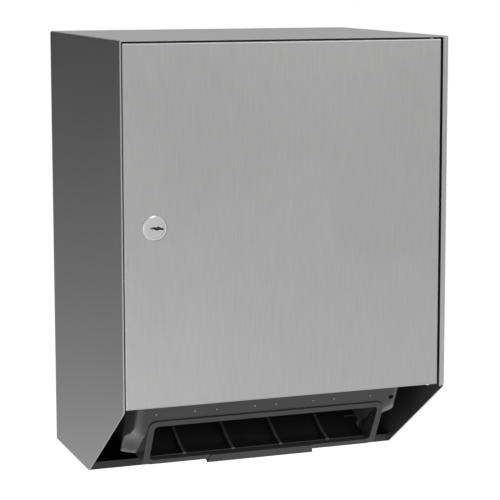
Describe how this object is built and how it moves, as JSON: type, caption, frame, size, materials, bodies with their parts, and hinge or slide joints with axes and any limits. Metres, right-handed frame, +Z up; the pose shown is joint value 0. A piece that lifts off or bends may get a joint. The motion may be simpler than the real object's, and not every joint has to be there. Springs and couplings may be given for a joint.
{
  "type": "automatic roll towel dispenser",
  "caption": "Wall-mounted stainless steel roll towel dispenser with a lockable hinged door, a sloping lower mouth and a cutting drum mechanism inside.",
  "frame": {"origin": "centre of the four wall holes, on the wall side of the back panel", "axes": "+X to the viewer's right, +Y into the wall, +Z up; the front faces -Y"},
  "size_m": [0.31, 0.2491, 0.408],
  "materials": {
    "stainless": "satin brushed",
    "zinc_steel": "bright zinc plated",
    "lock_chrome": "polished",
    "lock_brass": "plated",
    "smoke_plastic": "semi-gloss smoke",
    "black_plastic": "fine texture",
    "grey_plastic": "fine texture",
    "lever_green": "moulded",
    "gear_white": "acetal",
    "rubber": "matt",
    "blade_steel": "ground",
    "bush_bronze": "sintered"
  },
  "bodies": {
    "cabinet": {"wrap_shell": "stainless", "back_panel": "stainless", "hinge_bracket_upper": "zinc_steel", "hinge_bracket_lower": "zinc_steel", "hinge_pin_upper": "zinc_steel", "hinge_pin_lower": "zinc_steel", "lock_strike": "zinc_steel", "front_cover": "smoke_plastic", "cheek_left": "black_plastic", "cheek_right": "black_plastic", "rear_beam": "zinc_steel", "tray": "black_plastic", "drum_bushings": "bush_bronze", "knife_cam": "gear_white", "gear_stubs": "zinc_steel", "gear_cover": "black_plastic", "arm_bracket_left": "zinc_steel", "arm_pin_left": "zinc_steel", "arm_bracket_right": "zinc_steel", "arm_pin_right": "zinc_steel", "beam_screws": "zinc_steel", "bracket_screws": "zinc_steel", "cam_screws": "zinc_steel", "cheek_screws": "zinc_steel", "cover_screws": "zinc_steel", "tray_screws": "zinc_steel"},
    "door": {"door": "stainless", "lock_body": "lock_chrome", "lock_nut": "zinc_steel"},
    "latch": {"lock_plug": "lock_brass", "lock_cam": "zinc_steel", "cam_nut": "zinc_steel"},
    "drum": {"drum_shell": "grey_plastic", "drum_grips": "rubber", "drum_end_left": "grey_plastic", "drum_end_right": "grey_plastic", "drum_shaft": "zinc_steel", "drum_gear": "gear_white"},
    "knife": {"knife_holder": "grey_plastic", "knife_rod": "zinc_steel", "knife_blade": "blade_steel", "cam_follower": "gear_white"},
    "rocker": {"rocker": "black_plastic", "rocker_rod": "zinc_steel", "release_lever": "lever_green"},
    "pinch": {"pinch_shaft": "zinc_steel", "pinch_rollers": "rubber"},
    "feed": {"feed_gear": "gear_white", "feed_wheel": "lever_green"},
    "damper": {"damper_gear": "gear_white"},
    "arm_left": {"roll_arm_left": "black_plastic", "hub_pin_left": "zinc_steel"},
    "arm_right": {"roll_arm_right": "black_plastic", "hub_pin_right": "zinc_steel"},
    "hub_left": {"roll_hub_left": "black_plastic"},
    "hub_right": {"roll_hub_right": "black_plastic"}
  },
  "joints": [
    {"name": "door_swing", "type": "hinge", "parent": "cabinet", "child": "door", "pos_m": [0.14, -0.2425, 0.0413], "axis": [0, 0, 1], "range_deg": [0, 110]},
    {"name": "lock_turn", "type": "hinge", "parent": "door", "child": "latch", "pos_m": [-0.125, -0.2475, 0.041], "axis": [0, -1, 0], "range_deg": [0, 90]},
    {"name": "drum_spin", "type": "hinge", "parent": "cabinet", "child": "drum", "pos_m": [0, -0.1195, -0.098], "axis": [1, 0, 0], "continuous": true},
    {"name": "knife_swing", "type": "hinge", "parent": "drum", "child": "knife", "pos_m": [0, -0.12352, -0.13197], "axis": [1, 0, 0], "range_deg": [0, 32], "stiffness_Nm_per_rad": 0.02, "springref_deg": -11.46},
    {"name": "rocker_lift", "type": "hinge", "parent": "cabinet", "child": "rocker", "pos_m": [0, -0.1875, -0.048], "axis": [1, 0, 0], "range_deg": [-18, 0], "stiffness_Nm_per_rad": 0.4, "springref_deg": 17.19},
    {"name": "pinch_spin", "type": "hinge", "parent": "rocker", "child": "pinch", "pos_m": [0, -0.17484, -0.07508], "axis": [1, 0, 0], "continuous": true},
    {"name": "feed_spin", "type": "hinge", "parent": "cabinet", "child": "feed", "pos_m": [0.119, -0.14872, -0.05992], "axis": [1, 0, 0], "continuous": true},
    {"name": "damper_spin", "type": "hinge", "parent": "cabinet", "child": "damper", "pos_m": [0.119, -0.08053, -0.1205], "axis": [1, 0, 0], "continuous": true},
    {"name": "arm_swing_left", "type": "hinge", "parent": "cabinet", "child": "arm_left", "pos_m": [-0.111, -0.0155, 0.088], "axis": [0, 0, -1], "range_deg": [0, 15], "stiffness_Nm_per_rad": 0.5, "springref_deg": -11.46},
    {"name": "arm_swing_right", "type": "hinge", "parent": "cabinet", "child": "arm_right", "pos_m": [0.111, -0.0155, 0.088], "axis": [0, 0, 1], "range_deg": [0, 15], "stiffness_Nm_per_rad": 0.5, "springref_deg": -11.46},
    {"name": "hub_spin_left", "type": "hinge", "parent": "arm_left", "child": "hub_left", "pos_m": [-0.098, -0.1255, 0.088], "axis": [1, 0, 0], "continuous": true},
    {"name": "hub_spin_right", "type": "hinge", "parent": "arm_right", "child": "hub_right", "pos_m": [0.098, -0.1255, 0.088], "axis": [1, 0, 0], "continuous": true}
  ],
  "couplings": [
    {"joint": "pinch_spin", "follows": "drum_spin", "ratio": -4.4091},
    {"joint": "feed_spin", "follows": "drum_spin", "ratio": -3},
    {"joint": "damper_spin", "follows": "drum_spin", "ratio": -4}
  ]
}
